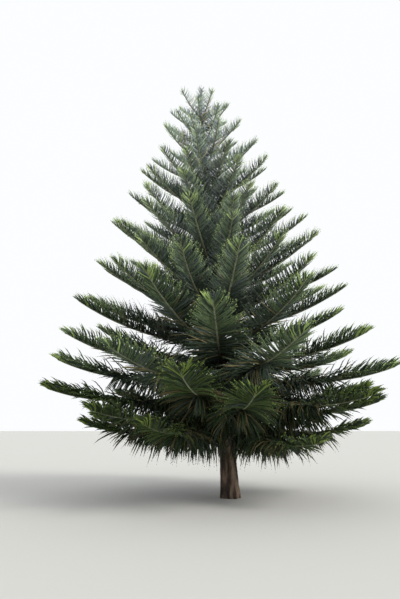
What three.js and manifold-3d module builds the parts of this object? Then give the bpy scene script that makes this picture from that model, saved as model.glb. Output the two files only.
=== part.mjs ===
import * as THREE from 'three';
import { mergeVertices } from 'three/addons/utils/BufferGeometryUtils.js';
import Module from 'manifold-3d';

// Norfolk Island pine: a whole young tree with foliage down to the ground.
// Lengths are in millimetres and angles in degrees. +Z is up, the origin is the middle of the
// flat cut under the trunk, and the tree is looked at from the -Y side.

// The trunk
const TREE_HEIGHT = 8520;
const TRUNK_TOP = 7950;
const TRUNK_RADIUS = 168;
const TRUNK_TOP_RADIUS = 20;
const FLARE_WIDTH = 30;
const FLARE_HEIGHT = 260;
const BUTTRESSES = 5;
const BUTTRESS_DEPTH = 0.07;
const LEAN = -585;
const LEAN_POWER = 1.15;
const TRUNK_SIDES = 10;
const TRUNK_RINGS = 12;

// The outline of the crown: a blunt cone above its widest height and a skirt under it
const CROWN_TOP = 9270;
const WIDEST_HEIGHT = 2270;
const CROWN_RADIUS = 3380;
const CROWN_POWER = 1.02;
const SKIRT_HEIGHT = 500;
const SKIRT_RADIUS = 2260;
const SKIRT_POWER = 1.3;

// The whorls of boughs, from the lowest to the highest
const WHORLS = 23;
const LOWEST_WHORL = 1410;
const HIGHEST_WHORL = 7725;
const WHORL_POWER = 1.01;
const LIMBED_WHORLS = 3;
const FULL_WHORLS = 12;
const BOUGHS_IN_FULL_WHORL = 6;
const BOUGHS_IN_UPPER_WHORL = 5;
const FIRST_TURN = 63;
const WHORL_TURN = 36.6;

// How the boughs rise. The lowest of them sag under their own weight.
const TOP_ELEVATION = 35;
const ELEVATION_LOST_PER_METRE = 3.4;
const SAG_STARTS = 2550;
const SAG_RANGE = 1700;
const SAG_ANGLE = 18.5;
const SAG_POWER = 0.25;
const ROOT_DROP = 13;
const BEND_PLACE = 0.6;
const SWAY = 0.05;
const HEIGHT_JITTER = 45;
const TURN_JITTER = 7;
const RISE_JITTER = 4;
const SHORTEST = 0.93;
const LONGEST = 1.03;
const LEFT_GAIN = 0.06;

// Thickness of a bough, and the share of a lower one that stands bare before its foliage
const BOUGH_ROOT_SHARE = 0.011;
const BOUGH_TIP_RADIUS = 11;
const BARE_SHARE = 0.24;
const BOUGH_SIDES = 5;
const BOUGH_RINGS = 2;
const COLLAR_WIDTH = 26;
const COLLAR_DEPTH = 130;
const COLLAR_SIDES = 7;
const COLLAR_MARGIN = 30;
const STEEP_HANGING = 0.8;

// The branchlets: two ranks that stand off a bough like a deep V, seen along it
const BRANCHLET_BASE = 160;
const BRANCHLET_SHARE = 0.15;
const HANGING_GAIN = 0.3;
const HANGING_STARTS = 3700;
const HANGING_RANGE = 2100;
const TIP_SHARE = 0.6;
const TIP_LENGTH = 0.34;
const TIP_ROUNDNESS = 0.65;
const FORWARD_AT_TIP = 28;
const FORWARD_INSIDE = 80;
const FORWARD_POWER = 0.6;
const LIFT_AT_TIP = 18;
const LOW_LIFT_AT_TIP = 42;
const LIFT_INSIDE = 46;
const OPENING_SHARE = 0.45;
const HANGING_LIFT = 110;
const HANGING_POWER = 2;

// The sprays: blades with a few teeth, each tooth a bundle of branchlets, joined by a web
const SPRAY_SPAN = 1100;
const TOOTH_PITCH = 380;
const BLADE_THICKNESS = 7;
const WEB_SHARE = 0.3;
const SHORTER = 0.72;
const SPRAY_INSET = 12;
const TIP_INSET = 60;

// The leader, the young shoot that goes on from the trunk's tip
const LEADER_SPRAYS = 5;
const LEADER_WIDTH = 120;
const LEADER_STEM = 14;

// Clearances, and the seed of every irregularity
const FIT_GAP = 0.3;
const TRUNK_GAP = 0.33;
const FOLIAGE_GAP = 2;
const TIDY = 0.15;
const SEED = 1305;

const UP = new THREE.Vector3(0, 0, 1);
const { degToRad, clamp, lerp } = THREE.MathUtils;

const wasm = await Module();
wasm.setup();

// The seeded rule that deals out every irregularity, a number between low and high at a time
function seededRule(seed) {
  let state = seed;
  return (low, high) => {
    state = (state * 16807) % 2147483647;
    return low + (high - low) * (state / 2147483647);
  };
}

// Closed solids from geometries, and back

function solidOf(geometry) {
  const bare = geometry.clone();
  bare.deleteAttribute('normal');
  bare.deleteAttribute('uv');
  const merged = mergeVertices(bare, 1e-3);
  return new wasm.Manifold(new wasm.Mesh({
    numProp: 3,
    vertProperties: Float32Array.from(merged.attributes.position.array),
    triVerts: Uint32Array.from(merged.index.array),
  }));
}

// The largest body of a solid: loose scraps are dropped and sealed hollows are filled. Corners
// that lie on a straight edge or a flat face are taken out.
function wholeBody(solid) {
  const bodies = solid.decompose();
  const largest = bodies.reduce((best, body) => (body.volume() > best.volume() ? body : best));
  return largest.asOriginal().simplify(TIDY);
}

function geometryOf(solid) {
  const mesh = solid.getMesh();
  const geometry = new THREE.BufferGeometry();
  const points = Float32Array.from(mesh.vertProperties);
  geometry.setAttribute('position', new THREE.BufferAttribute(points, 3));
  geometry.setIndex(new THREE.BufferAttribute(Uint32Array.from(mesh.triVerts), 1));
  geometry.computeVertexNormals();
  return geometry;
}

// The trunk: its lean, its taper and its root flare

function trunkCentre(height) {
  const share = Math.max(height, 0) / TREE_HEIGHT;
  return new THREE.Vector3(LEAN * share ** LEAN_POWER, 0, height);
}

function trunkRadius(height) {
  const taper = lerp(TRUNK_RADIUS, TRUNK_TOP_RADIUS, height / TRUNK_TOP);
  return taper + FLARE_WIDTH * Math.exp(-height / FLARE_HEIGHT);
}

function buttress(angle, height) {
  const fade = Math.exp(-height / FLARE_HEIGHT);
  return 1 + BUTTRESS_DEPTH * fade * Math.cos(BUTTRESSES * angle);
}

function trunkSolid(extra) {
  const profile = [new THREE.Vector2(0, 0)];
  for (let ring = 0; ring <= TRUNK_RINGS; ring += 1) {
    const height = TRUNK_TOP * (ring / TRUNK_RINGS) ** 1.5;
    profile.push(new THREE.Vector2(trunkRadius(height) + extra, height));
  }
  profile.push(new THREE.Vector2(0, TRUNK_TOP));
  const geometry = new THREE.LatheGeometry(profile, TRUNK_SIDES);
  geometry.rotateX(Math.PI / 2);
  const place = geometry.attributes.position;
  for (let i = 0; i < place.count; i += 1) {
    const height = place.getZ(i);
    const swell = buttress(Math.atan2(place.getY(i), place.getX(i)), height);
    const centre = trunkCentre(height);
    place.setXYZ(i, centre.x + place.getX(i) * swell, place.getY(i) * swell, height);
  }
  return solidOf(geometry);
}

// The plan of the crown

function crownRadius(height) {
  if (height < WIDEST_HEIGHT) {
    const share = clamp((height - SKIRT_HEIGHT) / (WIDEST_HEIGHT - SKIRT_HEIGHT), 0, 1);
    return lerp(SKIRT_RADIUS, CROWN_RADIUS, share ** SKIRT_POWER);
  }
  const share = Math.max(CROWN_TOP - height, 0) / (CROWN_TOP - WIDEST_HEIGHT);
  return CROWN_RADIUS * share ** CROWN_POWER;
}

function sagAt(height) {
  return clamp((SAG_STARTS - height) / SAG_RANGE, 0, 1);
}

function hangingAt(height) {
  return clamp((HANGING_STARTS - height) / HANGING_RANGE, 0, 1);
}

function boughElevation(height) {
  const metresDown = (HIGHEST_WHORL - height) / 1000;
  return TOP_ELEVATION - ELEVATION_LOST_PER_METRE * metresDown
    - SAG_ANGLE * sagAt(height) ** SAG_POWER;
}

// A bough runs from the trunk's axis to a tip on the crown's outline, and somewhat past it on the
// left, towards which the tree leans. It leaves the trunk flatter than it ends, and its middle
// sways a little to one side.
function planBough(whorlHeight, whorlTurn, draw) {
  const height = whorlHeight + draw(-HEIGHT_JITTER, HEIGHT_JITTER);
  const turn = degToRad(whorlTurn + draw(-TURN_JITTER, TURN_JITTER));
  const elevation = boughElevation(height) + draw(-RISE_JITTER, RISE_JITTER);
  const slope = Math.tan(degToRad(elevation));
  const rootSlope = Math.tan(degToRad(elevation - ROOT_DROP));
  let reach = crownRadius(height) / 2;
  for (let pass = 0; pass < 30; pass += 1) {
    reach = lerp(reach, crownRadius(height + reach * slope), 0.3);
  }
  reach *= draw(SHORTEST, LONGEST) * (1 + LEFT_GAIN * Math.max(-Math.cos(turn), 0));
  const outward = new THREE.Vector3(Math.cos(turn), Math.sin(turn), 0);
  const aside = new THREE.Vector3(-Math.sin(turn), Math.cos(turn), 0);
  const collar = trunkCentre(height);
  const root = collar.clone().addScaledVector(UP, -trunkRadius(height) * rootSlope);
  const bend = collar.clone().addScaledVector(outward, reach * BEND_PLACE)
    .addScaledVector(UP, reach * BEND_PLACE * rootSlope)
    .addScaledVector(aside, reach * draw(-SWAY, SWAY));
  const tip = collar.clone().addScaledVector(outward, reach).addScaledVector(UP, reach * slope);
  const length = root.distanceTo(tip);
  const hanging = hangingAt(height);
  return {
    curve: new THREE.QuadraticBezierCurve3(root, bend, tip),
    length,
    hanging,
    branchlet: (BRANCHLET_BASE + length * BRANCHLET_SHARE) * (1 + HANGING_GAIN * hanging),
    seed: Math.round(draw(1, 1e6)),
  };
}

function planCrown() {
  const draw = seededRule(SEED);
  const whorls = [];
  for (let level = 0; level < WHORLS; level += 1) {
    const share = (level / (WHORLS - 1)) ** WHORL_POWER;
    const height = lerp(LOWEST_WHORL, HIGHEST_WHORL, share);
    const count = level < FULL_WHORLS ? BOUGHS_IN_FULL_WHORL : BOUGHS_IN_UPPER_WHORL;
    const boughs = [];
    for (let i = 0; i < count; i += 1) {
      boughs.push(planBough(height, FIRST_TURN + level * WHORL_TURN + (i * 360) / count, draw));
    }
    whorls.push({ height, boughs, number: String(level + 1).padStart(2, '0') });
  }
  return whorls;
}

// The directions square to one along a bough: to its right and up from it
function squareTo(along) {
  const right = new THREE.Vector3().crossVectors(along, UP).normalize();
  const above = new THREE.Vector3().crossVectors(right, along);
  return { right, above };
}

// A limb is a cylinder bent along its bough's curve and tapered. Its rings stand at the given
// shares of the bough's length, square to the curve.
function limbSolid(bough, shares, sides) {
  const geometry = new THREE.CylinderGeometry(1, 1, shares.length - 1, sides, shares.length - 1);
  const place = geometry.attributes.position;
  for (let i = 0; i < place.count; i += 1) {
    const share = shares[Math.round(place.getY(i) + (shares.length - 1) / 2)];
    const { right, above } = squareTo(bough.curve.getTangent(share));
    const radius = lerp(bough.length * BOUGH_ROOT_SHARE, BOUGH_TIP_RADIUS, share);
    const point = bough.curve.getPoint(share);
    point.addScaledVector(right, place.getX(i) * radius);
    point.addScaledVector(above, place.getZ(i) * radius);
    place.setXYZ(i, point.x, point.y, point.z);
  }
  return solidOf(geometry);
}

// How long a branchlet is and how it leaves its bough at a share of the bough's length.
// Forward is its angle from the bough, lift is the angle of its rank above the level. A young
// frond is flat at its tip, and its ranks rise further in.
function branchletRule(bough, share) {
  const fromTip = 1 - share;
  const fill = Math.min(fromTip / TIP_SHARE, 1) ** TIP_ROUNDNESS;
  const inside = Math.min(fromTip / 0.75, 1);
  const liftAtTip = lerp(LIFT_AT_TIP, LOW_LIFT_AT_TIP, bough.hanging);
  const lift = lerp(liftAtTip, LIFT_INSIDE, Math.min(inside / OPENING_SHARE, 1));
  const hang = HANGING_LIFT * bough.hanging * inside ** (HANGING_POWER - bough.hanging);
  return {
    length: bough.branchlet * lerp(TIP_LENGTH, 1, fill),
    forward: degToRad(lerp(FORWARD_AT_TIP, FORWARD_INSIDE, inside ** FORWARD_POWER)),
    lift: degToRad(lift - hang),
  };
}

// One spray: a thin blade on a straight stretch of the stem between two of its rings. The blade's
// foot lies on the stem's axis, so its root is sunk all along.
function sprayBlade(bough, side, from, to, teeth) {
  const start = bough.curve.getPoint(from);
  const along = bough.curve.getPoint(to).sub(start);
  const foot = SPRAY_INSET;
  const end = along.length() - (to === 1 ? TIP_INSET : SPRAY_INSET);
  along.normalize();
  const { right, above } = squareTo(along);
  const { lift } = branchletRule(bough, (from + to) / 2);
  const rank = right.multiplyScalar(side * Math.cos(lift)).addScaledVector(above, Math.sin(lift));
  const across = new THREE.Vector3().crossVectors(along, rank);
  const shape = new THREE.Shape();
  shape.moveTo(foot, 0);
  teeth.forEach((size, i) => {
    const rule = branchletRule(bough, lerp(from, to, (i + 0.5) / teeth.length));
    const forward = Math.cos(rule.forward) * rule.length * size;
    const outward = Math.sin(rule.forward) * rule.length * size;
    if (i > 0) {
      shape.lineTo(lerp(foot, end, i / teeth.length) + forward * WEB_SHARE, outward * WEB_SHARE);
    }
    shape.lineTo(lerp(foot, end, (i + 0.5) / teeth.length) + forward, outward);
  });
  shape.lineTo(end, 0);
  const geometry = new THREE.ExtrudeGeometry(shape, { depth: BLADE_THICKNESS, bevelEnabled: false });
  geometry.translate(0, 0, -BLADE_THICKNESS / 2);
  geometry.applyMatrix4(new THREE.Matrix4().makeBasis(along, rank, across).setPosition(start));
  return solidOf(geometry);
}

// What stands already: a spray that would touch another frond or limb is made shorter, or skipped

const settled = [];

function settle(owner, solid) {
  settled.push({ owner, solid, box: solid.boundingBox() });
}

function boxesMeet(a, b, gap) {
  return [0, 1, 2].every((axis) => a.min[axis] - gap < b.max[axis] && b.min[axis] - gap < a.max[axis]);
}

function isClear(owner, solid) {
  const box = solid.boundingBox();
  return settled.every((other) => other.owner === owner
    || !boxesMeet(box, other.box, FOLIAGE_GAP)
    || solid.minGap(other.solid, FOLIAGE_GAP) >= FOLIAGE_GAP);
}

function spraysOf(bough, shares) {
  const draw = seededRule(bough.seed);
  const sprays = [];
  for (let i = 1; i < shares.length; i += 1) {
    const span = bough.length * (shares[i] - shares[i - 1]);
    const count = clamp(Math.round(span / TOOTH_PITCH), 2, 4);
    for (const side of [-1, 1]) {
      const teeth = Array.from({ length: count }, () => draw(0.88, 1.04));
      const blades = [1, SHORTER, SHORTER ** 2].map((scale) => sprayBlade(
        bough,
        side,
        shares[i - 1],
        shares[i],
        teeth.map((size) => size * scale),
      ));
      const blade = blades.find((candidate) => isClear(bough, candidate));
      if (blade) {
        settle(bough, blade);
        sprays.push(blade);
      }
    }
  }
  return sprays;
}

// The shares of a bough's length at which its stem has rings, one stretch for each pair of sprays
function foliageShares(bough, from) {
  const stretches = Math.max(Math.round((bough.length * (1 - from)) / SPRAY_SPAN), 1);
  return Array.from({ length: stretches + 1 }, (_, i) => lerp(from, 1, i / stretches));
}

// Colours and finishes

function finish(colour, roughness) {
  return new THREE.MeshStandardMaterial({ color: colour, roughness, metalness: 0 });
}

const tree = new THREE.Group();

function addPiece(name, solid, material) {
  const mesh = new THREE.Mesh(geometryOf(wholeBody(solid)), material);
  mesh.name = name;
  tree.add(mesh);
}

// The trunk, the limbs and the stems come first, so that every spray keeps clear of them

const trunk = trunkSolid(0);
const trunkRoom = trunkSolid(TRUNK_GAP);
const masses = [];
settle('trunk', trunk);
addPiece('trunk', trunk, finish(0x6b5548, 0.95));

// Sprays that hang steeply would meet a flat side of a three-sided stem edge on
function stemSides(bough) {
  return bough.hanging > STEEP_HANGING ? 4 : 3;
}

// A lower bough: a bare limb, and a mass of foliage whose stem goes on from the limb's end
function addLimbedBough(bough, name) {
  const limbShares = Array.from({ length: BOUGH_RINGS + 1 }, (_, i) => (BARE_SHARE * i) / BOUGH_RINGS);
  const limb = limbSolid(bough, limbShares, BOUGH_SIDES).subtract(trunkRoom);
  const shares = foliageShares(bough, BARE_SHARE + FIT_GAP / bough.length);
  const stem = limbSolid(bough, shares, stemSides(bough));
  settle(`bough_${name}`, limb);
  settle(bough, stem);
  addPiece(`bough_${name}`, limb, finish(0x5a4a3c, 0.95));
  masses.push({ name: `foliage_${name}`, stem, fronds: [{ bough, shares }] });
}

// A higher whorl: its boughs grow from a collar round the trunk, all one mass
function addWhorl(whorl) {
  const radius = trunkRadius(whorl.height) + COLLAR_WIDTH;
  const centre = trunkCentre(whorl.height);
  const collar = new THREE.CylinderGeometry(radius, radius, COLLAR_DEPTH, COLLAR_SIDES);
  collar.rotateX(Math.PI / 2);
  collar.translate(centre.x, centre.y, centre.z);
  const parts = [solidOf(collar)];
  const fronds = whorl.boughs.map((bough) => {
    const shares = foliageShares(bough, (radius + COLLAR_MARGIN) / bough.length);
    const limb = limbSolid(bough, [0, ...shares], stemSides(bough));
    settle(bough, limb);
    parts.push(limb);
    return { bough, shares };
  });
  const stem = wasm.Manifold.union(parts).subtract(trunkRoom);
  masses.push({ name: `foliage_whorl_${whorl.number}`, stem, fronds });
}

planCrown().forEach((whorl, level) => {
  if (level < LIMBED_WHORLS) {
    whorl.boughs.forEach((bough, i) => addLimbedBough(bough, `${whorl.number}_${i + 1}`));
  } else {
    addWhorl(whorl);
  }
});

// The leader: a slim core with a few toothed blades that stand round it
function addLeader() {
  const foot = trunkCentre(TRUNK_TOP + FIT_GAP);
  const height = TREE_HEIGHT - foot.z;
  const core = new THREE.CylinderGeometry(LEADER_STEM / 3, LEADER_STEM, height, 4);
  core.translate(0, height / 2, 0);
  const parts = [solidOf(core)];
  for (let i = 0; i < LEADER_SPRAYS; i += 1) {
    const shape = new THREE.Shape();
    shape.moveTo(0, height * 0.12);
    shape.lineTo(LEADER_WIDTH, height * 0.5);
    shape.lineTo(LEADER_WIDTH * 0.35, height * 0.4);
    shape.lineTo(LEADER_WIDTH * 0.75, height * 0.85);
    shape.lineTo(0, height * 0.62);
    const blade = new THREE.ExtrudeGeometry(shape, { depth: BLADE_THICKNESS, bevelEnabled: false });
    blade.translate(0, 0, -BLADE_THICKNESS / 2);
    blade.rotateY((i * 2 * Math.PI) / LEADER_SPRAYS);
    parts.push(solidOf(blade));
  }
  const upright = new THREE.Matrix4().makeRotationX(Math.PI / 2).setPosition(foot);
  const leader = wasm.Manifold.union(parts).transform(upright.elements);
  settle('leader', leader);
  addPiece('foliage_leader', leader, finish(0x6a7a35, 0.8));
}

addLeader();

// The foliage

const leaves = finish(0x3f5232, 0.8);
for (const { name, stem, fronds } of masses) {
  const parts = [stem];
  for (const { bough, shares } of fronds) {
    parts.push(...spraysOf(bough, shares));
  }
  addPiece(name, wasm.Manifold.union(parts), leaves);
}

export default tree;
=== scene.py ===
# %% [markdown]
# # A Norfolk Island pine
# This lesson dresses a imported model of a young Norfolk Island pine. The model has plain solids: a
# trunk, boughs, and toothed blades that stand for sprays of needles. Here they get real bark, and
# each blade gives way to the many rope-like branchlets that such a tree carries.
#
# The tree is 8.5 m tall. Everything is in metres, +Z is up, and the trunk's foot is the origin.

# %% Load the frame
import math

import bmesh
import bpy
import numpy as np
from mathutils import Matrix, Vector, noise


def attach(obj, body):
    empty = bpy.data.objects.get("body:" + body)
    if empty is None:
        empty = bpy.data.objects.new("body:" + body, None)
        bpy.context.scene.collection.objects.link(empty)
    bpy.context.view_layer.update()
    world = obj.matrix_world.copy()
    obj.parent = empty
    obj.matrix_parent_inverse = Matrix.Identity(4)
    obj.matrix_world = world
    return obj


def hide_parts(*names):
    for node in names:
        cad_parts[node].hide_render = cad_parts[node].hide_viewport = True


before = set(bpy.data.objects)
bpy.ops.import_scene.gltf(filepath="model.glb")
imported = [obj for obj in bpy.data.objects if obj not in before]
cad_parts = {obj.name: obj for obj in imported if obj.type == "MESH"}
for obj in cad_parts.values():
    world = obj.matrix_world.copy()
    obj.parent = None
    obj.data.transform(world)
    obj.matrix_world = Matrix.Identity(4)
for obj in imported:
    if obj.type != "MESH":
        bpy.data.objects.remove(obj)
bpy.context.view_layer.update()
nodes = sorted(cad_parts)
print("solids in the frame:", len(nodes))

# %% [markdown]
# ## The camera
# The photograph was taken from eye level, about eleven metres away, with the camera tilted up a
# little so that the tip of the tree comes into view. The lens is set from the view's own angle: a
# camera's `lens` is its focal length over a sensor 36 mm tall, because the picture stands upright.
# A camera that isn't turned looks straight down, so it is raised by a quarter turn and its pitch.

# %% Stand the camera
CAMERA_PLACE = Vector((-0.563, -11.4, 1.45))
CAMERA_PITCH = 11.6
CAMERA_LENS = 34.9
QUARTER_TURN = 90


def add_object(name, data):
    thing = bpy.data.objects.new(name, data)
    bpy.context.collection.objects.link(thing)
    return thing


camera = add_object("camera", bpy.data.cameras.new("camera"))
camera.location = CAMERA_PLACE
camera.rotation_euler = (math.radians(QUARTER_TURN + CAMERA_PITCH), 0, 0)
camera.data.lens = CAMERA_LENS
bpy.context.scene.camera = camera
print("the camera stands", round(-CAMERA_PLACE.y, 1), "m in front of the trunk")

# %% [markdown]
# ## The plan of the crown
# Each bough follows from a few named sizes and one seeded rule. A seeded rule is a small sum that
# gives the same "random" numbers each time, so the tree is always the same tree. These are the same
# sizes and the same rule that the solids were made by, so the finer branchlets grow where the
# blades stood.

# %% A seeded rule
SEED = 1305
RULE_FACTOR = 16807
RULE_PRIME = 2147483647


def seeded_rule(seed):
    state = seed

    def draw(low, high):
        nonlocal state
        state = state * RULE_FACTOR % RULE_PRIME
        return low + (high - low) * state / RULE_PRIME

    return draw


def mix(low, high, share):
    return low + (high - low) * share


def clamp(value):
    return min(max(value, 0.0), 1.0)


print("the rule's first draw from 0 to 100:", round(seeded_rule(SEED)(0, 100), 3))

# %% [markdown]
# The trunk leans to the left, and more so as it rises. It tapers evenly from foot to tip, and it
# flares at the foot, where the roots begin. Two functions hold all of this: for any height, they
# give the middle of the trunk and its radius there.

# %% The trunk's line and thickness
TREE_HEIGHT = 8.52
TRUNK_TOP = 7.95
TRUNK_RADIUS = 0.168
TRUNK_TOP_RADIUS = 0.020
FLARE_WIDTH = 0.030
FLARE_HEIGHT = 0.260
LEAN = -0.585
LEAN_POWER = 1.15
UP = Vector((0, 0, 1))


def trunk_centre(height):
    return Vector((LEAN * (max(height, 0) / TREE_HEIGHT) ** LEAN_POWER, 0, height))


def trunk_radius(height):
    taper = mix(TRUNK_RADIUS, TRUNK_TOP_RADIUS, height / TRUNK_TOP)
    return taper + FLARE_WIDTH * math.exp(-height / FLARE_HEIGHT)


print("the trunk's tip is", round(trunk_centre(TRUNK_TOP).x, 2), "m to the side of its foot")

# %% [markdown]
# The tips of the boughs lie on one outline. It is widest at about a quarter of the tree's height,
# narrows from there to the tip in an almost straight line, and draws in below like a skirt.

# %% The crown's outline
CROWN_TOP = 9.270
WIDEST_HEIGHT = 2.270
CROWN_RADIUS = 3.380
CROWN_POWER = 1.02
SKIRT_HEIGHT = 0.500
SKIRT_RADIUS = 2.260
SKIRT_POWER = 1.3


def crown_radius(height):
    if height < WIDEST_HEIGHT:
        share = clamp((height - SKIRT_HEIGHT) / (WIDEST_HEIGHT - SKIRT_HEIGHT))
        return mix(SKIRT_RADIUS, CROWN_RADIUS, share ** SKIRT_POWER)
    share = max(CROWN_TOP - height, 0) / (CROWN_TOP - WIDEST_HEIGHT)
    return CROWN_RADIUS * share ** CROWN_POWER


print("half the crown's width at the middle of the tree:", round(crown_radius(TREE_HEIGHT / 2), 2), "m")

# %% [markdown]
# The young boughs near the top rise steeply. Lower ones are flatter, and the lowest sag under their
# own weight. The branchlets age in the same way: they stand up on a young bough and hang from an
# old one. `hanging_at` says how far that has gone, from 0 on a young bough to 1 on the oldest.

# %% How a bough rises, sags and hangs
HIGHEST_WHORL = 7.725
TOP_ELEVATION = 35
ELEVATION_LOST_PER_METRE = 3.4
SAG_STARTS = 2.550
SAG_RANGE = 1.700
SAG_ANGLE = 18.5
SAG_POWER = 0.25
HANGING_STARTS = 3.700
HANGING_RANGE = 2.100


def bough_elevation(height):
    sag = clamp((SAG_STARTS - height) / SAG_RANGE)
    lost = ELEVATION_LOST_PER_METRE * (HIGHEST_WHORL - height)
    return TOP_ELEVATION - lost - SAG_ANGLE * sag ** SAG_POWER


def hanging_at(height):
    return clamp((HANGING_STARTS - height) / HANGING_RANGE)


print("a bough two metres up rises by", round(bough_elevation(2), 1), "degrees")

# %% [markdown]
# A bough is a curve with three points: its root on the trunk's line, its bend and its tip. It
# leaves the trunk flatter than it ends, so it curves upwards. Its reach depends on how high its tip
# lies, and that height on its reach, so the reach is found by small steps.

# %% Plan one bough
ROOT_DROP = 13
BEND_PLACE = 0.6
SWAY = 0.05
HEIGHT_JITTER = 0.045
TURN_JITTER = 7
RISE_JITTER = 4
SHORTEST = 0.93
LONGEST = 1.03
LEFT_GAIN = 0.06
REACH_STEPS = 30
REACH_STEP = 0.3
BRANCHLET_BASE = 0.160
BRANCHLET_SHARE = 0.15
HANGING_GAIN = 0.3
LARGEST_SEED = 1e6


def plan_bough(whorl_height, whorl_turn, draw):
    height = whorl_height + draw(-HEIGHT_JITTER, HEIGHT_JITTER)
    turn = math.radians(whorl_turn + draw(-TURN_JITTER, TURN_JITTER))
    elevation = bough_elevation(height) + draw(-RISE_JITTER, RISE_JITTER)
    slope = math.tan(math.radians(elevation))
    root_slope = math.tan(math.radians(elevation - ROOT_DROP))
    reach = crown_radius(height) / 2
    for _ in range(REACH_STEPS):
        reach = mix(reach, crown_radius(height + reach * slope), REACH_STEP)
    reach *= draw(SHORTEST, LONGEST) * (1 + LEFT_GAIN * max(-math.cos(turn), 0))
    outward = Vector((math.cos(turn), math.sin(turn), 0))
    aside = Vector((-math.sin(turn), math.cos(turn), 0))
    collar = trunk_centre(height)
    root = collar - UP * trunk_radius(height) * root_slope
    bend = collar + (outward + UP * root_slope) * reach * BEND_PLACE
    bend += aside * reach * draw(-SWAY, SWAY)
    tip = collar + (outward + UP * slope) * reach
    length = (tip - root).length
    hanging = hanging_at(height)
    branchlet = (BRANCHLET_BASE + length * BRANCHLET_SHARE) * (1 + HANGING_GAIN * hanging)
    seed = int(draw(1, LARGEST_SEED) + 0.5)
    return {
        "root": root, "bend": bend, "tip": tip, "length": length,
        "hanging": hanging, "branchlet": branchlet, "seed": seed,
    }


sample = plan_bough(WIDEST_HEIGHT, 0, seeded_rule(SEED))
print("a bough at the widest height is", round(sample["length"], 2), "m long")

# %% [markdown]
# The boughs stand in whorls, like the spokes of a wheel, and each whorl is turned against the one
# below. A bough is bare where it leaves the trunk. In the three lowest whorls the solids are bare
# for longer, and the finer branchlets start a little nearer to the trunk than the blades do.

# %% Plan every whorl
WHORLS = 23
LOWEST_WHORL = 1.410
WHORL_POWER = 1.01
LIMBED_WHORLS = 3
FULL_WHORLS = 12
BOUGHS_IN_FULL_WHORL = 6
BOUGHS_IN_UPPER_WHORL = 5
FIRST_TURN = 63
WHORL_TURN = 36.6
COLLAR_WIDTH = 0.056
BARE_SHARE = 0.24
BARE_SHARE_KEPT = 0.6


def plan_crown():
    draw = seeded_rule(SEED)
    boughs = []
    for level in range(WHORLS):
        height = mix(LOWEST_WHORL, HIGHEST_WHORL, (level / (WHORLS - 1)) ** WHORL_POWER)
        count = BOUGHS_IN_FULL_WHORL if level < FULL_WHORLS else BOUGHS_IN_UPPER_WHORL
        for i in range(count):
            bough = plan_bough(height, FIRST_TURN + level * WHORL_TURN + i * 360 / count, draw)
            bough["level"] = level
            bough["bare"] = (trunk_radius(height) + COLLAR_WIDTH) / bough["length"]
            if level < LIMBED_WHORLS:
                bough["bare"] = BARE_SHARE * BARE_SHARE_KEPT
            boughs.append(bough)
    return boughs


boughs = plan_crown()
print("boughs:", len(boughs), "in", WHORLS, "whorls")

# %% [markdown]
# ## Materials
# Bark and needles get procedural materials. Every pattern reads Object coordinates, so it stays on
# the piece. A colour that is the same all over a piece is set on the shader's own socket. Where a
# pattern is linked to a socket, it takes the place of that value.

# %% Helpers for materials
NOISE_DETAIL = 5.0


def new_material(name, colour, roughness):
    material = bpy.data.materials.new(name)
    material.use_nodes = True
    shader = material.node_tree.nodes["Principled BSDF"]
    shader.inputs["Base Color"].default_value = (*colour, 1)
    shader.inputs["Roughness"].default_value = roughness
    return material, material.node_tree, shader


def object_noise(tree, scale, stretch=(1, 1, 1)):
    place = tree.nodes.new("ShaderNodeTexCoord")
    mapping = tree.nodes.new("ShaderNodeMapping")
    mapping.inputs["Scale"].default_value = stretch
    pattern = tree.nodes.new("ShaderNodeTexNoise")
    pattern.inputs["Scale"].default_value = scale
    pattern.inputs["Detail"].default_value = NOISE_DETAIL
    tree.links.new(place.outputs["Object"], mapping.inputs["Vector"])
    tree.links.new(mapping.outputs["Vector"], pattern.inputs["Vector"])
    return pattern.outputs["Fac"]


def ramp(tree, value, stops):
    node = tree.nodes.new("ShaderNodeValToRGB")
    elements = node.color_ramp.elements
    while len(elements) < len(stops):
        elements.new(0.5)
    for element, (position, colour) in zip(elements, stops):
        element.position = position
        element.color = (*colour, 1)
    tree.links.new(value, node.inputs["Fac"])
    return node.outputs["Color"]


# %% [markdown]
# ## The trunk
# The bark of this pine is reddish brown and rough, and upright furrows break it into narrow flaky
# ridges. One way is a flat material with bump. A mesh with real ridges looks better from close by,
# and its outline is rough too. Three kinds of noise make the relief: long furrows, plates between
# them, and small flakes. Each has its own measures round the trunk and up it. A fourth noise lets
# the furrows drift a little to the side.

# %% The relief of the bark
BARK_SCALE = 2.6
DRIFT = 0.5
DRIFT_UP = 2.0
FURROWS_AROUND = 3.4
FURROWS_UP = 5.5
FURROW_SHARPNESS = 4.0
FURROW_DEPTH = 1.1
PLATES_AROUND = 7.0
PLATES_UP = 22.0
PLATE_HEIGHT = 0.55
FLAKES_AROUND = 16.0
FLAKES_UP = 60.0
FLAKE_HEIGHT = 0.35


def bark_relief(angle, height):
    around = Vector((math.cos(angle), math.sin(angle), 0)) * BARK_SCALE
    drift = noise.noise(around + UP * height * DRIFT_UP) * DRIFT
    ridge = noise.noise(around * FURROWS_AROUND + Vector((drift, 0, height * FURROWS_UP)))
    plate = noise.noise(around * PLATES_AROUND + UP * height * PLATES_UP)
    flake = noise.noise(around * FLAKES_AROUND + UP * height * FLAKES_UP)
    furrow = 1 - min(abs(ridge) * FURROW_SHARPNESS, 1)
    return PLATE_HEIGHT * plate + FLAKE_HEIGHT * flake - FURROW_DEPTH * furrow


print("the relief at one metre, as a share of the bark's depth:", round(bark_relief(0, 1), 2))

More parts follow.
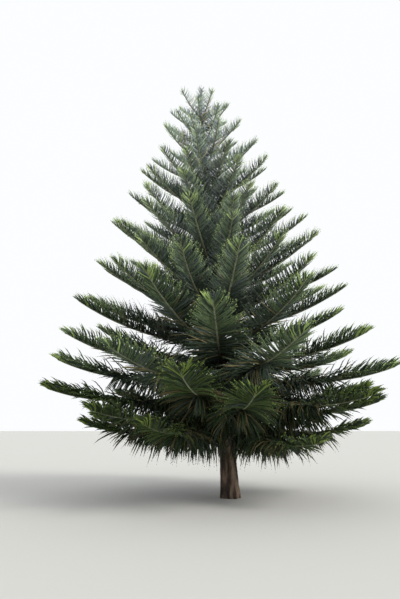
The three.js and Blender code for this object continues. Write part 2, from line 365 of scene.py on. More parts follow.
# %% [markdown]
# A flat grid is wrapped round the trunk's line, and its points are moved in and out by the relief.
# The grid is one unit wide and high: its width runs round the trunk, and its height up the trunk.
# Its rings are closer together near the foot, where the trunk flares. Where the grid's two sides
# meet, their points are merged, and a face closes each end.

# %% Wrap a grid round the trunk
TRUNK_STEPS = 96
TRUNK_RINGS = 220
RING_CROWDING = 1.6
BUTTRESSES = 5
BUTTRESS_DEPTH = 0.07
BARK_DEPTH = 0.010
FULL_BARK_RADIUS = 0.12
SEAM_WIDTH = 1e-5


def close_ends(bm):
    bmesh.ops.holes_fill(bm, edges=[edge for edge in bm.edges if edge.is_boundary])
    bmesh.ops.recalc_face_normals(bm, faces=bm.faces)


def trunk_mesh():
    bm = bmesh.new()
    bmesh.ops.create_grid(bm, x_segments=TRUNK_STEPS, y_segments=TRUNK_RINGS, size=0.5)
    for vertex in bm.verts:
        angle = (vertex.co.x + 0.5) * 2 * math.pi
        height = TRUNK_TOP * (vertex.co.y + 0.5) ** RING_CROWDING
        fade = math.exp(-height / FLARE_HEIGHT)
        swell = 1 + BUTTRESS_DEPTH * fade * math.cos(BUTTRESSES * angle)
        radius = trunk_radius(height)
        depth = BARK_DEPTH * clamp(radius / FULL_BARK_RADIUS) * bark_relief(angle, height)
        out = Vector((math.cos(angle), math.sin(angle), 0))
        vertex.co = trunk_centre(height) + out * (radius * swell + depth)
    bmesh.ops.remove_doubles(bm, verts=bm.verts, dist=SEAM_WIDTH)
    close_ends(bm)
    mesh = bpy.data.meshes.new("trunk_bark")
    bm.to_mesh(mesh)
    bm.free()
    return mesh


trunk = add_object("trunk_bark", trunk_mesh())
print("trunk faces:", len(trunk.data.polygons))

# %% [markdown]
# The bark's colour changes along stretched streaks, dark as in a furrow and pale as on a ridge. A
# little bump adds the grain that is too fine for the mesh.

# %% Bark for the trunk
BARK_FURROW = (0.010, 0.006, 0.004)
BARK_MIDDLE = (0.066, 0.043, 0.029)
BARK_RIDGE = (0.230, 0.165, 0.115)
BARK_STOPS = [(0.36, BARK_FURROW), (0.5, BARK_MIDDLE), (0.64, BARK_RIDGE)]
BARK_ROUGHNESS = 0.92
STREAK_SCALE = 9.0
STREAK_STRETCH = (1, 1, 0.22)
GRAIN_SCALE = 60.0
GRAIN_STRETCH = (1, 1, 0.35)
BUMP_STRENGTH = 0.6
BUMP_DISTANCE = 0.004

bark, tree, shader = new_material("trunk_bark", BARK_MIDDLE, BARK_ROUGHNESS)
streaks = object_noise(tree, STREAK_SCALE, STREAK_STRETCH)
tree.links.new(ramp(tree, streaks, BARK_STOPS), shader.inputs["Base Color"])
bump = tree.nodes.new("ShaderNodeBump")
bump.inputs["Strength"].default_value = BUMP_STRENGTH
bump.inputs["Distance"].default_value = BUMP_DISTANCE
tree.links.new(object_noise(tree, GRAIN_SCALE, GRAIN_STRETCH), bump.inputs["Height"])
tree.links.new(bump.outputs["Normal"], shader.inputs["Normal"])
trunk.data.materials.append(bark)
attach(trunk, "root")
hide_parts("trunk")
print("nodes in the trunk's material:", len(tree.nodes))

# %% [markdown]
# ## The boughs
# A bough is one long limb that tapers from the trunk to its tip. A curve is the simplest way to
# draw it: each bough is one strand of a single curve object. The curve's bevel is one unit deep, so
# the radius of a point is the bough's own radius in metres. The curve is then turned into a mesh,
# and its points are moved a little for the bark.

# %% Draw every bough as a strand of one curve
BOUGH_ROOT_SHARE = 0.011
BOUGH_TIP_RADIUS = 0.010
BOUGH_TAPER = 0.8
BOUGH_POINTS = 18
BOUGH_SIDES = 8
BOUGH_BARK_DEPTH = 0.003
BOUGH_BARK_SCALE = 22.0


def along_bough(bough, share):
    rest = 1 - share
    return bough["root"] * rest * rest + bough["bend"] * 2 * rest * share + bough["tip"] * share * share


def bough_radius(bough, share):
    return mix(bough["length"] * BOUGH_ROOT_SHARE, BOUGH_TIP_RADIUS, share ** BOUGH_TAPER)


def bough_curve():
    curve = bpy.data.curves.new("boughs", "CURVE")
    curve.dimensions = "3D"
    curve.bevel_depth = 1.0
    curve.bevel_resolution = BOUGH_SIDES // 2 - 2
    for bough in boughs:
        strand = curve.splines.new("POLY")
        strand.points.add(BOUGH_POINTS - 1)
        for i, point in enumerate(strand.points):
            share = i / (BOUGH_POINTS - 1)
            point.co = (*along_bough(bough, share), 1)
            point.radius = bough_radius(bough, share)
    return curve


drawn = add_object("bough_curve", bough_curve())
bpy.context.view_layer.update()
depsgraph = bpy.context.evaluated_depsgraph_get()
limb_mesh = bpy.data.meshes.new_from_object(drawn.evaluated_get(depsgraph))
bpy.data.objects.remove(drawn)
limbs = add_object("boughs", limb_mesh)
for vertex in limb_mesh.vertices:
    vertex.co += vertex.normal * BOUGH_BARK_DEPTH * noise.noise(vertex.co * BOUGH_BARK_SCALE)
print("bough faces:", len(limb_mesh.polygons))

# %% [markdown]
# A bough is brown and scaly where it is old, and pale green near its tip, where it shows as a light
# rib in the middle of its frond. The curve gives the points ring by ring, so each point's place along
# its bough is easy to tell. It is kept on the mesh as an attribute, and the material reads it.

# %% Mark how young each ring of a bough is, and close the ends
ring_number = np.arange(len(limb_mesh.vertices)) // BOUGH_SIDES % BOUGH_POINTS
youth = limb_mesh.attributes.new("youth", "FLOAT", "POINT")
youth.data.foreach_set("value", (ring_number / (BOUGH_POINTS - 1)).astype(np.float32))
bm = bmesh.new()
bm.from_mesh(limb_mesh)
close_ends(bm)
bm.to_mesh(limb_mesh)
bm.free()
print("rings on the boughs:", len(limb_mesh.vertices) // BOUGH_SIDES)

# %% [markdown]
# Both kinds of bark are made of noise, and the attribute blends them. A ramp turns it into the
# blend's factor: black keeps the old bark, white the young one.

# %% Bark for the boughs
TWIG_BROWN = (0.080, 0.058, 0.038)
TWIG_GREY = (0.130, 0.115, 0.075)
RIB_GREEN = (0.260, 0.290, 0.190)
OLD_STOPS = [(0.35, BARK_FURROW), (0.5, TWIG_BROWN), (0.68, TWIG_GREY)]
OLD_BARK_SCALE = 14.0
YOUNG_STOPS = [(0.35, TWIG_GREY), (0.62, RIB_GREEN)]
YOUNG_BARK_SCALE = 30.0
YOUTH_STOPS = [(0.3, (0, 0, 0)), (0.6, (1, 1, 1))]
TWIG_ROUGHNESS = 0.9

limb_bark, tree, shader = new_material("bough_bark", TWIG_BROWN, TWIG_ROUGHNESS)
age = tree.nodes.new("ShaderNodeAttribute")
age.attribute_name = "youth"
old_bark = ramp(tree, object_noise(tree, OLD_BARK_SCALE), OLD_STOPS)
young_bark = ramp(tree, object_noise(tree, YOUNG_BARK_SCALE), YOUNG_STOPS)
blend = tree.nodes.new("ShaderNodeMix")
blend.data_type = "RGBA"
tree.links.new(ramp(tree, age.outputs["Fac"], YOUTH_STOPS), blend.inputs["Factor"])
tree.links.new(old_bark, blend.inputs["A"])
tree.links.new(young_bark, blend.inputs["B"])
tree.links.new(blend.outputs["Result"], shader.inputs["Base Color"])
limb_mesh.materials.clear()
limb_mesh.materials.append(limb_bark)
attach(limbs, "root")
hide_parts(*[name for name in nodes if name.startswith("bough")])
print("nodes in the boughs' material:", len(tree.nodes))

# %% [markdown]
# ## The branchlets
# A Norfolk Island pine has no leafy twigs that fork. Its boughs carry two ranks of branchlets, like
# the barbs of a feather, and each branchlet is a rope of short needles. Young fronds hold their
# ranks up in a V. Old, low ones let them hang, and there a third rank, drawn under the inner part
# of the bough, closes the foliage up to the trunk. Near the top the branchlets stand further apart.
#
# There are thousands of them, so they are worked out together, as arrays of numbers: one row for
# each branchlet, with its root, its bend and its tip. `[:, None]` stands an array of numbers up as
# a column, so that each of them is used for all three coordinates of its own point.

# %% Where each branchlet leaves its bough
BOUGH_END = 0.995
FEWEST_IN_RANK = 4
BRANCHLET_STEP = 0.0178
PLACE_JITTER = 0.4
TOP_OPENING = 1.7
OPEN_LEVEL = 13
CURTAIN_FROM = 0.62
UPWARDS = np.array(UP)


def unit(vectors):
    return vectors / np.linalg.norm(vectors, axis=1)[:, None]


def branchlet_places(bough, draw):
    """Each branchlet's share of the bough, its side from -1 to 1, and whether it hangs under it."""
    start = bough["bare"]
    opening = clamp((bough["level"] - OPEN_LEVEL) / (WHORLS - OPEN_LEVEL))
    step = BRANCHLET_STEP * mix(1, TOP_OPENING, opening)
    ranks = [-1.0, 1.0, 0.0] if bough["hanging"] > CURTAIN_FROM else [-1.0, 1.0]
    count = max(int(bough["length"] * (BOUGH_END - start) / step), FEWEST_IN_RANK)
    share = np.repeat(np.linspace(start, BOUGH_END, count), len(ranks))
    share = share + draw.uniform(-PLACE_JITTER, PLACE_JITTER, share.size) * step / bough["length"]
    share = np.clip(share, start, 1.0)
    side = np.tile(ranks, count)
    under = side == 0
    side = np.where(under, draw.uniform(-1, 1, share.size), side)
    return share, side, under


def bough_frame(bough, share):
    """The bough's points at these shares, and the directions along it, to its right and above it."""
    root, bend, tip = (np.array(bough[key]) for key in ("root", "bend", "tip"))
    rest = 1 - share[:, None]
    run = share[:, None]
    place = root * rest * rest + bend * 2 * rest * run + tip * run * run
    along = unit((bend - root) * rest + (tip - bend) * run)
    right = unit(np.cross(along, UPWARDS))
    return place, along, right, np.cross(right, along)


lowest_places = branchlet_places(boughs[0], np.random.default_rng(boughs[0]["seed"]))[0]
print("places on the first of the lowest boughs:", lowest_places.size)

# %% [markdown]
# A frond has the outline of a feather: its branchlets are shorter towards its tip, and lean forward
# there, and the last few close up in a small fan. The hanging third rank is shorter.

# %% How long a branchlet is, and how far it leans forward
TIP_SHARE = 0.6
TIP_LENGTH = 0.34
TIP_ROUNDNESS = 0.65
SHORTEST_BRANCHLET = 0.80
SHORTEST_OLD = 0.66
LONGEST_BRANCHLET = 1.04
CURTAIN_LENGTH = 0.6
FORWARD_AT_TIP = 28
FORWARD_INSIDE = 80
FORWARD_POWER = 0.6
FORWARD_JITTER = 6
FAN_SHARE = 0.045
FAN_SPREAD = 0.2
FAN_LENGTH = 0.7
INSIDE_SHARE = 0.75


def branchlet_lengths(bough, share, under, draw):
    from_tip = 1 - share
    fill = np.minimum(from_tip / TIP_SHARE, 1) ** TIP_ROUNDNESS
    fan = np.minimum(from_tip / FAN_SHARE, 1)
    shortest = mix(SHORTEST_BRANCHLET, SHORTEST_OLD, bough["hanging"])
    full = bough["branchlet"] * mix(TIP_LENGTH, 1, fill)
    length = full * draw.uniform(shortest, LONGEST_BRANCHLET, share.size)
    return length * (mix(FAN_LENGTH, 1, fan) * np.where(under, CURTAIN_LENGTH, 1))


def share_inside(share):
    """How far inside the crown each branchlet stands: 0 at its bough's tip, 1 on the first quarter."""
    return np.minimum((1 - share) / INSIDE_SHARE, 1)


def forward_angles(share, draw):
    """The angle between each branchlet and its bough, in radians."""
    spread = mix(FORWARD_AT_TIP, FORWARD_INSIDE, share_inside(share) ** FORWARD_POWER)
    spread *= mix(FAN_SPREAD, 1, np.minimum((1 - share) / FAN_SHARE, 1))
    return np.radians(spread + draw.normal(0, FORWARD_JITTER, share.size))


print("branchlets inside a frond stand at", FORWARD_INSIDE, "degrees to the bough")

# %% [markdown]
# A young branchlet is raised over its bough's side. An old one falls, and more so inside the crown
# than near its bough's tip. The angles are spread a little at random, because no two are alike.

# %% How far a branchlet is raised, and how limp it is
LIFT_AT_TIP = 18
LOW_LIFT_AT_TIP = 42
LIFT_INSIDE = 46
OPENING_SHARE = 0.45
HANGING_LIFT = 110
HANGING_POWER = 2
CURTAIN_LIFT = -74
SCATTER = 8
OLD_SCATTER = 8
ARCHING = 0.7


def lift_angles(bough, share, under, draw):
    """How far each branchlet is raised, in radians, and how limp it is, from 0 to 1."""
    inside = share_inside(share)
    opening = np.minimum(inside / OPENING_SHARE, 1)
    hang = HANGING_LIFT * bough["hanging"] * inside ** (HANGING_POWER - bough["hanging"])
    lift_at_tip = mix(LIFT_AT_TIP, LOW_LIFT_AT_TIP, bough["hanging"])
    raised = np.where(under, CURTAIN_LIFT, mix(lift_at_tip, LIFT_INSIDE, opening) - hang)
    scatter = SCATTER + OLD_SCATTER * bough["hanging"] * opening
    lift = np.radians(raised + draw.normal(0, 1, share.size) * scatter)
    return lift, np.maximum(hang / HANGING_LIFT, bough["hanging"] * ARCHING)


print("branchlets inside a young frond are raised by", LIFT_INSIDE, "degrees")

# %% [markdown]
# Each branchlet is a curve with three points too. A young one bows a little outwards, back and
# down. A limp one arches up and out from its root, and then falls. The third rank is kept only on
# the inner part of its bough, so that it doesn't hide the light rib further out.

# %% Work out every branchlet
CURTAIN_END = 0.6
YOUNG_BOW_OUT = 0.16
YOUNG_BOW_BACK = 0.10
YOUNG_BOW_DOWN = 0.05
LIMP_BOW_OUT = 0.20
LIMP_BOW_UP = 0.32


def branchlets_of(bough):
    draw = np.random.default_rng(bough["seed"])
    share, side, under = branchlet_places(bough, draw)
    place, along, right, above = bough_frame(bough, share)
    length = branchlet_lengths(bough, share, under, draw)
    forward = forward_angles(share, draw)
    lift, limp = lift_angles(bough, share, under, draw)
    rank = right * (side * np.cos(lift))[:, None] + above * np.sin(lift)[:, None]
    way = along * np.cos(forward)[:, None] + rank * np.sin(forward)[:, None]
    young_bow = rank * YOUNG_BOW_OUT - along * YOUNG_BOW_BACK - UPWARDS * YOUNG_BOW_DOWN
    limp_bow = right * side[:, None] * LIMP_BOW_OUT + UPWARDS * LIMP_BOW_UP
    bow = mix(young_bow, limp_bow, limp[:, None])
    rows = {
        "root": place,
        "bend": place + (way * 0.5 + bow) * length[:, None],
        "tip": place + way * length[:, None],
        "length": length,
        "share": share,
        "level": np.full(share.size, bough["level"]),
        "hanging": np.full(share.size, bough["hanging"]),
        "chance": draw.uniform(0, 1, share.size),
    }
    kept = ~under | (share < CURTAIN_END)
    return {key: value[kept] for key, value in rows.items()}


def joined(rows):
    return {key: np.concatenate([row[key] for row in rows]) for key in rows[0]}


branchlets = joined([branchlets_of(bough) for bough in boughs])
print("branchlets:", branchlets["length"].size, "with", round(branchlets["length"].sum()), "m in all")

# %% [markdown]
# So many small shapes are too slow to add one by one. A mesh can take them all at once:
# `foreach_set` hands whole arrays of points and corners to it. Every shape of a piece has the same
# triangles, only further on in the list of points.

# %% A mesh from arrays
def mesh_piece(name, shapes, pattern, material):
    """Join many small shapes with the same triangles: shapes holds the points of each."""
    count, corners = shapes.shape[:2]
    faces = np.array(pattern)[None] + (np.arange(count) * corners)[:, None, None]
    mesh = bpy.data.meshes.new(name)
    mesh.vertices.add(count * corners)
    mesh.vertices.foreach_set("co", shapes.astype(np.float32).ravel())
    mesh.loops.add(faces.size)
    mesh.loops.foreach_set("vertex_index", faces.astype(np.int32).ravel())
    mesh.polygons.add(faces.size // 3)
    mesh.polygons.foreach_set("loop_start", np.arange(0, faces.size, 3, dtype=np.int32))
    mesh.update(calc_edges=True)
    mesh.materials.append(material)
    piece = add_object(name, mesh)
    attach(piece, "root")
    print(name, "has", faces.size // 3, "triangles")
    return piece


# %% [markdown]
# The shapes stand on the branchlets' own curves. At any share of a branchlet, these two functions
# give its point, its direction, and two directions across it. The first of those is square to the
# branchlet and to a helper direction that hardly a branchlet follows. The second is square to the
# branchlet and to the first.

# %% Points and directions on the branchlets
HELPER = np.array((0.31, 0.17, 0.93))


def points_on(rows, share):
    rest = 1 - share
    return (rows["root"] * (rest * rest)[:, None] + rows["bend"] * (2 * rest * share)[:, None]
            + rows["tip"] * (share * share)[:, None])


def frames_on(rows, share):
    run = share[:, None]
    way = unit((rows["bend"] - rows["root"]) * (1 - run) + (rows["tip"] - rows["bend"]) * run)
    first = unit(np.cross(way, HELPER))
    return way, first, np.cross(way, first)


middles = points_on(branchlets, np.full(branchlets["length"].size, 0.5))
print("the lowest middle of a branchlet is", round(middles[:, 2].min(), 2), "m up")

# %% [markdown]
# The core of a branchlet is a thin three-sided tube. It is a closed shape: a small triangle at its
# root, sunk in the bough, a ring or two along it, and a point. The point lies a little short of
# the branchlet's tip, where only the needles go on. The low branchlets bend most, so their cores
# have three rings in all, and the others two.

# %% Cores of the branchlets
CORE_RADIUS = 0.0092
OLD_CORE_RADIUS = 0.0160
CORE_TAPER = 0.4
CORE_END = 0.88
OLD_CORE_END = 0.97
CORE_SIDES = 3
BENT_RINGS = 3
STRAIGHT_RINGS = 2


def core_shapes(rows, rings):
    end_share = mix(CORE_END, OLD_CORE_END, rows["hanging"])
    widest = mix(CORE_RADIUS, OLD_CORE_RADIUS, rows["hanging"][:, None])
    points = []
    for ring in range(rings):
        # The point stands half a step beyond the last ring
        share = end_share * ring / (rings - 0.5)
        centre = points_on(rows, share)
        _, first, second = frames_on(rows, share)
        radius = widest * (1 - CORE_TAPER * share[:, None])
        for corner in range(CORE_SIDES):
            turn = corner * 2 * math.pi / CORE_SIDES
            points.append(centre + radius * (first * math.cos(turn) + second * math.sin(turn)))
    return np.stack([*points, points_on(rows, end_share)], axis=1)


def core_pattern(rings):
    faces = [(0, 2, 1)]
    for ring in range(rings - 1):
        for corner in range(CORE_SIDES):
            here = ring * CORE_SIDES + corner
            there = ring * CORE_SIDES + (corner + 1) % CORE_SIDES
            faces += [(here, there, there + CORE_SIDES), (here, there + CORE_SIDES, here + CORE_SIDES)]
    last = (rings - 1) * CORE_SIDES
    end = last + CORE_SIDES
    return faces + [(last + i, last + (i + 1) % CORE_SIDES, end) for i in range(CORE_SIDES)]


print("triangles in a straight core:", len(core_pattern(STRAIGHT_RINGS)))
print("triangles in a bent core:", len(core_pattern(BENT_RINGS)))

# %% [markdown]
# ## Needles
# The needles are short and stand all round a branchlet, each a little further round than the last,
# like the scales of a cone. A real branchlet has several hundred. Here each needle is somewhat
# longer than life, and folded along its middle, so that two triangles catch light on two sides.

# %% Where each needle stands
NEEDLE_STEP = 0.036
OLD_NEEDLE_SPACING = 1.3
FEWEST_NEEDLES = 3
FIRST_NEEDLE = 0.6


def needle_places(rows):
    """The branchlet that each needle stands on, its number there, and its share of the branchlet."""
    step = NEEDLE_STEP * mix(1, OLD_NEEDLE_SPACING, rows["hanging"])
    counts = np.maximum((rows["length"] / step).astype(int), FEWEST_NEEDLES)
    owner = np.repeat(np.arange(counts.size), counts)
    number = np.arange(owner.size) - np.repeat(np.cumsum(counts) - counts, counts)
    return owner, number, (number + FIRST_NEEDLE) / counts[owner]


print("needles:", needle_places(branchlets)[0].size)

# %% [markdown]
# Needles lean forward, and more so near the end of their branchlet, where they are shorter too. The
# four corners of a needle are its root, its point, and the two edges of its belly. The belly lies a
# little nearer to the branchlet than the line from root to point does, and that makes the fold.

# %% The shape of each needle
NEEDLE_TURN = math.radians(137.5)
FULL_TURN = 6.283
ROOT_NEEDLE_LEAN = 52
TIP_NEEDLE_LEAN = 30
LEAN_JITTER = 6
NEEDLE_LENGTH = 0.036
TIP_NEEDLE_LENGTH = 0.62
SHORTEST_NEEDLE = 0.85
LONGEST_NEEDLE = 1.1
NEEDLE_WIDTH = 0.013
BELLY_PLACE = 0.42
BELLY_FOLD = 0.5
NEEDLE_PATTERN = [(0, 1, 2), (0, 2, 3)]


def needle_shapes(rows, seed):
    """The four points of every needle, the branchlet that it stands on, and its share of that."""
    draw = np.random.default_rng(seed)
    owner, number, share = needle_places(rows)
    picked = {key: rows[key][owner] for key in ("root", "bend", "tip")}
    base = points_on(picked, share)
    way, first, second = frames_on(picked, share)
    turn = number * NEEDLE_TURN + (rows["chance"] * FULL_TURN)[owner]
    out = first * np.cos(turn)[:, None] + second * np.sin(turn)[:, None]
    leaning = mix(ROOT_NEEDLE_LEAN, TIP_NEEDLE_LEAN, share)
    lean = np.radians(leaning + draw.normal(0, LEAN_JITTER, share.size))
    point = way * np.cos(lean)[:, None] + out * np.sin(lean)[:, None]
    across = unit(np.cross(point, way))
    full = NEEDLE_LENGTH * mix(1.0, TIP_NEEDLE_LENGTH, share)
    long = (full * draw.uniform(SHORTEST_NEEDLE, LONGEST_NEEDLE, share.size))[:, None]
    wide = NEEDLE_WIDTH / 2
    belly = base + point * long * BELLY_PLACE - out * wide * BELLY_FOLD
    shapes = np.stack([base, belly + across * wide, base + point * long, belly - across * wide], axis=1)
    return shapes, owner, share


print("a needle turns", round(math.degrees(NEEDLE_TURN), 1), "degrees further than the last")

# %% [markdown]
# A frond isn't one green. It lies in shade inside the crown and is yellow green where it grows. So
# each branchlet gets a tone from its place on its bough: the darkest tone, inside the crown, is
# painted shade, and the lighter tones further out are painted light together with the yellow green
# of young growth. The needles near its end are one tone lighter, or two on the young part of a bough,
# a painted highlight on the fresh growth there, which draws the bright scalloped edge of each frond.
# Some of the old hanging branchlets go brown, and a few near the top.
#
# The whorls are counted from 0 at the bottom, and fall into five zones of height.

# %% Tones and zones
# The darkest tone is painted shade inside the crown; the two lightest add painted light to young
# growth.
TONES = {
    "deep": (0.020, 0.040, 0.018),
    "middle": (0.040, 0.074, 0.025),
    "light": (0.092, 0.148, 0.038),
    "fresh_lit": (0.310, 0.430, 0.085),
    "grey": (0.070, 0.098, 0.080),
    "brown": (0.150, 0.132, 0.056),
}
SHADED, MIDDLE, LIGHT, FRESH_LIT, GREY, BROWN = range(len(TONES))
# Each tone's next lighter one, for the ends of the branchlets: a painted highlight on fresh growth.
ONE_TONE_LIGHTER = np.array([MIDDLE, LIGHT, FRESH_LIT, FRESH_LIT, LIGHT, BROWN])
ZONES = {
    "low": (0, 2),
    "lower_middle": (3, 5),
    "upper_middle": (6, 10),
    "high": (11, 16),
    "top": (17, 22),
}
print("tones:", len(TONES), "zones:", len(ZONES))

# %% [markdown]
# The rules for a branchlet's tone are read from top to bottom, and a later one overrules an earlier
# one. Most ask for its share of its bough, 0 at the trunk and 1 at the tip, and for its chance, a
# number from 0 to 1 that it drew for itself. So the tones mingle, and no line parts them.

# %% Deal the branchlets out to the tones
MIDDLE_BELOW = 0.50
MIDDLE_FROM = 0.45
MIDDLE_ABOVE = 0.35
YOUNG_SHARE = 0.62
LIGHT_ABOVE = 0.40
FRESH_LIT_FROM = 0.90
FRESH_LIT_ABOVE = 0.60
GREY_BELOW = 0.10
BROWN_UNTIL = 0.65
OLD_BROWN = 0.22
TOP_BROWN = 0.14
LIT_END_SHARE = 0.62
YOUNG_END = 0.52


def tone_of(rows):
    """Each branchlet's tone, by its share of its bough and by its own chance from 0 to 1."""
    share, chance = rows["share"], rows["chance"]
    # Dark tones inside the crown are painted shade; lighter ones further out add painted light.
    tone = np.where(chance < MIDDLE_BELOW, MIDDLE, SHADED)
    tone = np.where((share > MIDDLE_FROM) & (chance > MIDDLE_ABOVE), MIDDLE, tone)
    tone = np.where((share > YOUNG_SHARE) & (chance > LIGHT_ABOVE), LIGHT, tone)
    tone = np.where((share > FRESH_LIT_FROM) & (chance > FRESH_LIT_ABOVE), FRESH_LIT, tone)
    tone = np.where(chance < GREY_BELOW, GREY, tone)
    near_top = rows["level"] >= ZONES["top"][0]
    browning = np.maximum(OLD_BROWN * rows["hanging"], TOP_BROWN * near_top)
    return np.where((share < BROWN_UNTIL) & (chance > 1 - browning), BROWN, tone)


def end_tone(tone, share, young):
    """The tone of a needle at a share of its branchlet: lighter near the end, a painted highlight on
    fresh growth, most on a young one.
    """
    fresh_lit = np.where(share > LIT_END_SHARE, ONE_TONE_LIGHTER[tone], tone)
    return np.where((share > YOUNG_END) & young, ONE_TONE_LIGHTER[fresh_lit], fresh_lit)


print("branchlets of each tone:", np.bincount(tone_of(branchlets)).tolist())

# %% [markdown]
# In hazy light the crown looks lighter, greyer and bluer towards its top. So each zone has its own
# brightness, painted light and shade that is darkest in the low zone and brightest at the top, and
# mixes the tones with a blue grey by its own measure, a painted haze. Needles have a soft gloss,
# which noise varies.

# %% Materials of the needles
# Painted light and shade by zone: darker low down, brightest at the hazy top.
ZONE_PAINTED_LIGHT = {"low": 0.66, "lower_middle": 1.45, "upper_middle": 1.95, "high": 2.8, "top": 6.0}
ZONE_PAINTED_HAZE = {"low": 0.08, "lower_middle": 0.42, "upper_middle": 0.55, "high": 0.65, "top": 0.75}
LESS_PAINTED_HAZE = {"light": 0.8, "fresh_lit": 0.5, "brown": 0.25}
PAINTED_HAZE_BLUE_GREY = (0.96, 1.00, 1.26)
BRIGHTEST = 0.6
NEEDLE_ROUGHNESS = 0.55
GLOSSIEST = 0.45
ROUGHEST = 0.75
GLOSS_SCALE = 6.0
SPECULAR_LEVEL = 0.2


def needle_material(zone, kind):
    # Each tone is mixed with a blue grey as painted haze, then brightened or darkened as painted light.
    grey = sum(TONES[kind]) / 3
    haze = ZONE_PAINTED_HAZE[zone] * LESS_PAINTED_HAZE.get(kind, 1)
    hazed = [mix(value, grey * share, haze) for value, share in zip(TONES[kind], PAINTED_HAZE_BLUE_GREY)]
    colour = [value * min(ZONE_PAINTED_LIGHT[zone], BRIGHTEST / max(hazed)) for value in hazed]
    material, tree, shader = new_material(f"needles_{zone}_{kind}", colour, NEEDLE_ROUGHNESS)
    shader.inputs["Specular IOR Level"].default_value = SPECULAR_LEVEL
    gloss = tree.nodes.new("ShaderNodeMapRange")
    gloss.inputs["To Min"].default_value = GLOSSIEST
    gloss.inputs["To Max"].default_value = ROUGHEST
    tree.links.new(object_noise(tree, GLOSS_SCALE), gloss.inputs["Value"])
    tree.links.new(gloss.outputs["Result"], shader.inputs["Roughness"])
    return material


print("materials for the needles:", len(ZONES) * len(TONES))

# %% [markdown]
# Each zone becomes one piece of cores and one of needles for each tone, so that no piece is too
# large. The cores of the darkest tone, the painted shade inside the crown, take the place of the
# zone's masses of foliage.

# %% Grow the zones
masses = [name for name in nodes if name.startswith("foliage")]


def level_of(name):
    return int(name.removeprefix("foliage_").removeprefix("whorl_")[:2]) - 1


def grow_zone(zone):
    first_level, last_level = ZONES[zone]
    in_zone = (branchlets["level"] >= first_level) & (branchlets["level"] <= last_level)
    rows = {key: value[in_zone] for key, value in branchlets.items()}
    tone = tone_of(rows)
    rings = BENT_RINGS if zone.startswith("low") else STRAIGHT_RINGS
    core_points = core_shapes(rows, rings)
    needle_points, owner, share = needle_shapes(rows, SEED + first_level)
    needle_tone = end_tone(tone[owner], share, rows["share"][owner] > YOUNG_SHARE)
    zone_nodes = [name for name in masses
                  if name != "foliage_leader" and first_level <= level_of(name) <= last_level]
    for number, kind in enumerate(TONES):
        material = needle_material(zone, kind)
        for label, shapes, pattern in (
            ("branchlets", core_points[tone == number], core_pattern(rings)),
            ("needles", needle_points[needle_tone == number], NEEDLE_PATTERN),
        ):
            if len(shapes):
                piece = mesh_piece(f"{label}_{zone}_{kind}", shapes, pattern, material)
                if label == "branchlets" and kind == "deep":
                    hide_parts(*zone_nodes)


for zone in ZONES:
    grow_zone(zone)

# %% [markdown]
# ## The leader
# The young shoot at the very top goes on from the trunk's tip. Short branchlets stand all round it,
# each a little further round than the last, as needles do. Its cores and needles take the middle
# tone of the top zone.

# %% Grow the leader
LEADER_BRANCHLETS = 44
LEADER_LONGEST = 0.24
LEADER_SHORTEST = 0.10
LEADER_RISE = 1.1
LEADER_LAST = 0.85
LEADER_SAG = 0.01


def leader_rows():
    draw = np.random.default_rng(SEED)
    foot = np.array(trunk_centre(TRUNK_TOP))
    rise = TREE_HEIGHT - TRUNK_TOP
    place = np.linspace(0.0, LEADER_LAST, LEADER_BRANCHLETS)
    turn = np.arange(LEADER_BRANCHLETS) * NEEDLE_TURN
    root = foot + UPWARDS * (place * rise)[:, None]
    length = mix(LEADER_LONGEST, LEADER_SHORTEST, place)
    out = unit(np.stack([np.cos(turn), np.sin(turn), np.full(turn.size, LEADER_RISE)], axis=1))
    tip = root + out * length[:, None]
    bend = root + out * length[:, None] * 0.5 - UPWARDS * LEADER_SAG
    around = {"root": root, "bend": bend, "tip": tip, "length": length, "share": place}
    shoot = {
        "root": foot[None],
        "bend": (foot + UPWARDS * rise * 0.5)[None],
        "tip": (foot + UPWARDS * rise)[None],
        "length": np.array([rise]),
        "share": np.array([1.0]),
    }
    rows = joined([around, shoot])
    rows["chance"] = draw.uniform(0, 1, rows["length"].size)
    rows["hanging"] = np.zeros(rows["length"].size)
    return rows


leader = leader_rows()
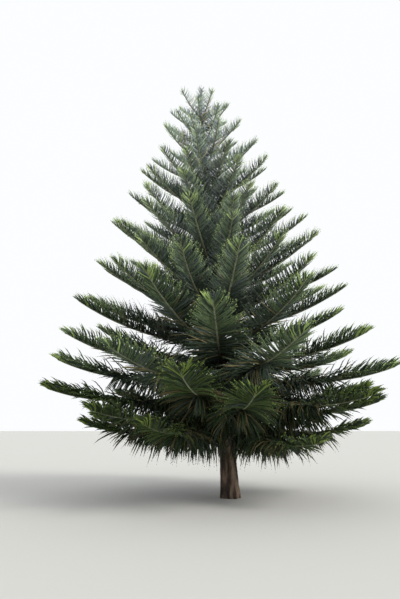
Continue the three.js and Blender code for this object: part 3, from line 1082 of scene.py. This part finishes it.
# The leader takes the top zone's painted haze and painted light.
shoot_green = needle_material("top", "middle")
stem_points = core_shapes(leader, STRAIGHT_RINGS)
stems = mesh_piece("leader_stems", stem_points, core_pattern(STRAIGHT_RINGS), shoot_green)
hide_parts("foliage_leader")
needle_points = needle_shapes(leader, SEED)[0]
leader_needles = mesh_piece("leader_needles", needle_points, NEEDLE_PATTERN, shoot_green)

# %% [markdown]
# ## Floor and light
# The tree stands on a plain pale floor. The light is soft: a pale sky all round, and a sun with a
# wide disc, so that its shadows have no hard edge. It shines from above, on the right of the camera.
# The Standard view transform shows the sky as near white as the photograph does.

# %% Lay the floor
FLOOR_HALF_WIDTH = 60
FLOOR_GREY = (0.52, 0.52, 0.50)
FLOOR_ROUGHNESS = 0.9

bm = bmesh.new()
bmesh.ops.create_grid(bm, x_segments=1, y_segments=1, size=FLOOR_HALF_WIDTH)
floor_mesh = bpy.data.meshes.new("floor")
bm.to_mesh(floor_mesh)
bm.free()
floor = add_object("floor", floor_mesh)
floor_mesh.materials.append(new_material("floor", FLOOR_GREY, FLOOR_ROUGHNESS)[0])
print("the floor is", 2 * FLOOR_HALF_WIDTH, "m wide")

# %% Set the light
SKY_COLOUR = (0.97, 0.985, 1.0)
SKY_STRENGTH = 1.0
SUN_ENERGY = 2.2
SUN_DISC = 25
SUN_COLOUR = (1.0, 0.96, 0.88)
SUN_PLACE = Vector((10, -6, 13))
SUN_AIM = Vector((0, 0, 4))

world = bpy.data.worlds.new("sky")
bpy.context.scene.world = world
world.use_nodes = True
sky = world.node_tree.nodes["Background"]
sky.inputs["Color"].default_value = (*SKY_COLOUR, 1)
sky.inputs["Strength"].default_value = SKY_STRENGTH
bpy.context.scene.view_settings.view_transform = "Standard"

sun = add_object("soft_sun", bpy.data.lights.new("soft_sun", "SUN"))
sun.data.energy = SUN_ENERGY
sun.data.angle = math.radians(SUN_DISC)
sun.data.color = SUN_COLOUR
sun.location = SUN_PLACE
sun.rotation_euler = (SUN_AIM - SUN_PLACE).to_track_quat("-Z", "Y").to_euler()
print("the sun's disc is", SUN_DISC, "degrees wide")
